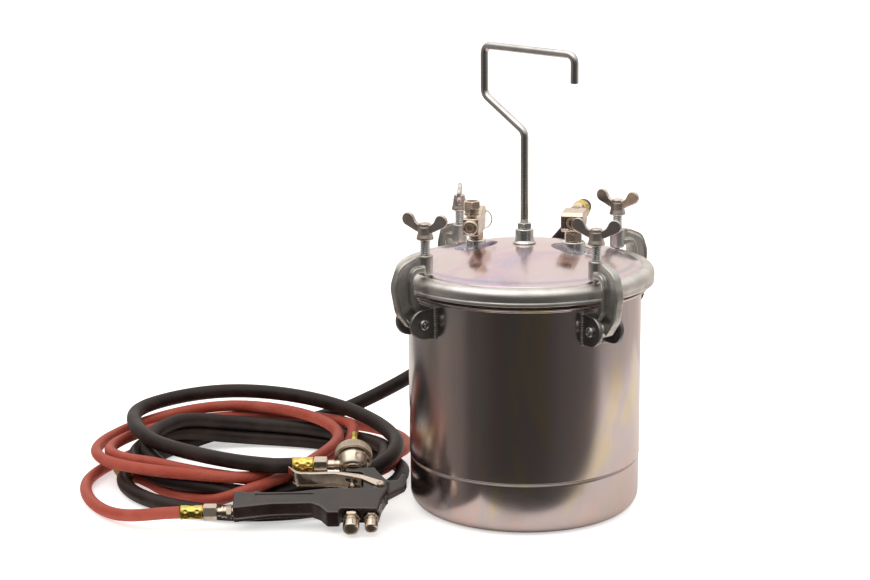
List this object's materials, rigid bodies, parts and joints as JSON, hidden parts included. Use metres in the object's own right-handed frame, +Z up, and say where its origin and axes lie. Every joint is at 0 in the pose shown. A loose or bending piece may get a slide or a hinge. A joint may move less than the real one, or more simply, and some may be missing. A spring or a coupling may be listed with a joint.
{
  "type": "resin pressure pot",
  "caption": "Zinc-plated pressure pot with domed clamp-down lid, wing-screw clamps, hook handle, lid fittings, a fluid hose and an air hose to a trigger spray gun.",
  "frame": {"origin": "centre of the pot's base, on the surface it stands on", "axes": "+Z up the pot's axis; X through the two lid fittings, outlet side +X, air side -X; the hoses and the gun lie on the -X side"},
  "size_m": [0.614, 0.3722, 0.4733],
  "materials": {
    "zinc_shell": "zinc plate with faint rainbow tint and vertical scratches",
    "zinc_lid": "zinc plate with pink and lavender tint",
    "cast_zinc": "zinc plated casting, fine grain",
    "dark_zinc": "zinc plated steel, dark",
    "bright_zinc": "bright zinc plate",
    "nickel": "warm nickel plate",
    "brass": "bright brass",
    "black_rubber": "matt",
    "red_rubber": "fine ribbed",
    "black_enamel": "gloss black enamel on a casting",
    "nitrile": "matt"
  },
  "bodies": {
    "pot": {"air_hose_coil": "red_rubber", "air_hose_ferrule": "brass", "air_hose_nut": "nickel", "air_hose_tail": "red_rubber", "air_supply_fitting": "brass", "bottom_cup": "zinc_shell", "bracket_back_left": "dark_zinc", "bracket_back_right": "dark_zinc", "bracket_front_left": "dark_zinc", "bracket_front_right": "dark_zinc", "clamp_pin_back_left": "dark_zinc", "clamp_pin_back_right": "dark_zinc", "clamp_pin_front_left": "dark_zinc", "clamp_pin_front_right": "dark_zinc", "dip_tube": "zinc_shell", "fluid_hose_coil": "black_rubber", "fluid_hose_end": "black_rubber", "fluid_hose_ferrule": "brass", "fluid_hose_lead": "black_rubber", "fluid_hose_nut": "nickel", "gun_air_inlet": "nickel", "gun_body": "black_enamel", "gun_fluid_head": "nickel", "gun_fluid_nozzle": "brass", "gun_trigger_pivot": "nickel", "handle_jam_nut": "bright_zinc", "handle_rod": "bright_zinc", "lid": "zinc_lid", "lid_boss_center": "bright_zinc", "lid_boss_left": "bright_zinc", "lid_boss_right": "bright_zinc", "lid_gasket": "nitrile", "manifold_block": "nickel", "manifold_top_nut": "nickel", "outlet_block": "nickel", "outlet_ferrule": "brass", "outlet_hose_nut": "nickel", "outlet_nipple": "nickel", "outlet_plug": "dark_zinc", "safety_valve_body": "brass", "tank_shell": "zinc_shell"},
    "arm_front_left": {"clamp_arm_front_left": "cast_zinc"},
    "arm_front_right": {"clamp_arm_front_right": "cast_zinc"},
    "arm_back_right": {"clamp_arm_back_right": "cast_zinc"},
    "arm_back_left": {"clamp_arm_back_left": "cast_zinc"},
    "tip_front_left": {"clamp_tip_front_left": "bright_zinc"},
    "tip_front_right": {"clamp_tip_front_right": "bright_zinc"},
    "tip_back_right": {"clamp_tip_back_right": "bright_zinc"},
    "tip_back_left": {"clamp_tip_back_left": "bright_zinc"},
    "screw_front_left": {"clamp_screw_front_left": "bright_zinc"},
    "screw_front_right": {"clamp_screw_front_right": "bright_zinc"},
    "screw_back_right": {"clamp_screw_back_right": "bright_zinc"},
    "screw_back_left": {"clamp_screw_back_left": "bright_zinc"},
    "trigger": {"gun_trigger": "nickel"},
    "needle": {"gun_needle": "nickel"},
    "fluid_knob": {"gun_fluid_knob": "nickel"},
    "fan_knob": {"gun_fan_knob": "nickel"},
    "air_cap": {"gun_air_cap": "nickel"},
    "valve_stem": {"safety_valve_stem": "nickel"},
    "valve_ring": {"safety_valve_ring": "nickel"}
  },
  "joints": [
    {"name": "clamp_front_left_swing", "type": "hinge", "parent": "pot", "child": "arm_front_left", "pos_m": [-0.09263, -0.09263, 0.2075], "axis": [0.7071, -0.7071, 0], "range_deg": [0, 110]},
    {"name": "clamp_front_left_lift", "type": "slide", "parent": "arm_front_left", "child": "tip_front_left", "axis": [0, 0, 1], "range_m": [0, 0.012]},
    {"name": "clamp_front_left_turn", "type": "hinge", "parent": "tip_front_left", "child": "screw_front_left", "pos_m": [-0.0845, -0.0845, 0.29], "axis": [0, 0, 1], "range_deg": [-5, 2885]},
    {"name": "clamp_front_right_swing", "type": "hinge", "parent": "pot", "child": "arm_front_right", "pos_m": [0.09263, -0.09263, 0.2075], "axis": [0.7071, 0.7071, 0], "range_deg": [0, 110]},
    {"name": "clamp_front_right_lift", "type": "slide", "parent": "arm_front_right", "child": "tip_front_right", "axis": [0, 0, 1], "range_m": [0, 0.012]},
    {"name": "clamp_front_right_turn", "type": "hinge", "parent": "tip_front_right", "child": "screw_front_right", "pos_m": [0.0845, -0.0845, 0.29], "axis": [0, 0, 1], "range_deg": [-5, 2885]},
    {"name": "clamp_back_right_swing", "type": "hinge", "parent": "pot", "child": "arm_back_right", "pos_m": [0.09263, 0.09263, 0.2075], "axis": [-0.7071, 0.7071, 0], "range_deg": [0, 110]},
    {"name": "clamp_back_right_lift", "type": "slide", "parent": "arm_back_right", "child": "tip_back_right", "axis": [0, 0, 1], "range_m": [0, 0.012]},
    {"name": "clamp_back_right_turn", "type": "hinge", "parent": "tip_back_right", "child": "screw_back_right", "pos_m": [0.0845, 0.0845, 0.29], "axis": [0, 0, 1], "range_deg": [-5, 2885]},
    {"name": "clamp_back_left_swing", "type": "hinge", "parent": "pot", "child": "arm_back_left", "pos_m": [-0.09263, 0.09263, 0.2075], "axis": [-0.7071, -0.7071, 0], "range_deg": [0, 110]},
    {"name": "clamp_back_left_lift", "type": "slide", "parent": "arm_back_left", "child": "tip_back_left", "axis": [0, 0, 1], "range_m": [0, 0.012]},
    {"name": "clamp_back_left_turn", "type": "hinge", "parent": "tip_back_left", "child": "screw_back_left", "pos_m": [-0.0845, 0.0845, 0.29], "axis": [0, 0, 1], "range_deg": [-5, 2885]},
    {"name": "trigger_pull", "type": "hinge", "parent": "pot", "child": "trigger", "pos_m": [-0.13065, -0.09624, 0.03205], "axis": [0.0879, -0.3807, 0.9205], "range_deg": [0, 12], "stiffness_Nm_per_rad": 0.8, "springref_deg": -5.73},
    {"name": "needle_draw", "type": "slide", "parent": "pot", "child": "needle", "axis": [0.2071, -0.8969, -0.3907], "range_m": [0, 0.0061]},
    {"name": "fluid_knob_turn", "type": "hinge", "parent": "pot", "child": "fluid_knob", "pos_m": [-0.14703, -0.15152, 0.01075], "axis": [-0.2071, 0.8969, 0.3907], "range_deg": [0, 1080]},
    {"name": "fan_knob_turn", "type": "hinge", "parent": "pot", "child": "fan_knob", "pos_m": [-0.12755, -0.14702, 0.01075], "axis": [-0.2071, 0.8969, 0.3907], "range_deg": [0, 720]},
    {"name": "air_cap_turn", "type": "hinge", "parent": "pot", "child": "air_cap", "pos_m": [-0.16919, -0.05555, 0.05256], "axis": [-0.2071, 0.8969, 0.3907], "range_deg": [-90, 90]},
    {"name": "safety_valve_pull", "type": "slide", "parent": "pot", "child": "valve_stem", "axis": [0, 1, 0], "range_m": [0, 0.003], "stiffness_N_per_m": 800},
    {"name": "safety_ring_swing", "type": "hinge", "parent": "valve_stem", "child": "valve_ring", "pos_m": [-0.05, 0.034, 0.2995], "axis": [1, 0, 0], "range_deg": [-60, 80]}
  ],
  "couplings": [
    {"joint": "clamp_front_left_turn", "follows": "clamp_front_left_lift", "rad_per_m": 4188.8},
    {"joint": "clamp_front_right_turn", "follows": "clamp_front_right_lift", "rad_per_m": 4188.8},
    {"joint": "clamp_back_right_turn", "follows": "clamp_back_right_lift", "rad_per_m": 4188.8},
    {"joint": "clamp_back_left_turn", "follows": "clamp_back_left_lift", "rad_per_m": 4188.8},
    {"joint": "needle_draw", "follows": "trigger_pull", "m_per_rad": 0.0284}
  ]
}
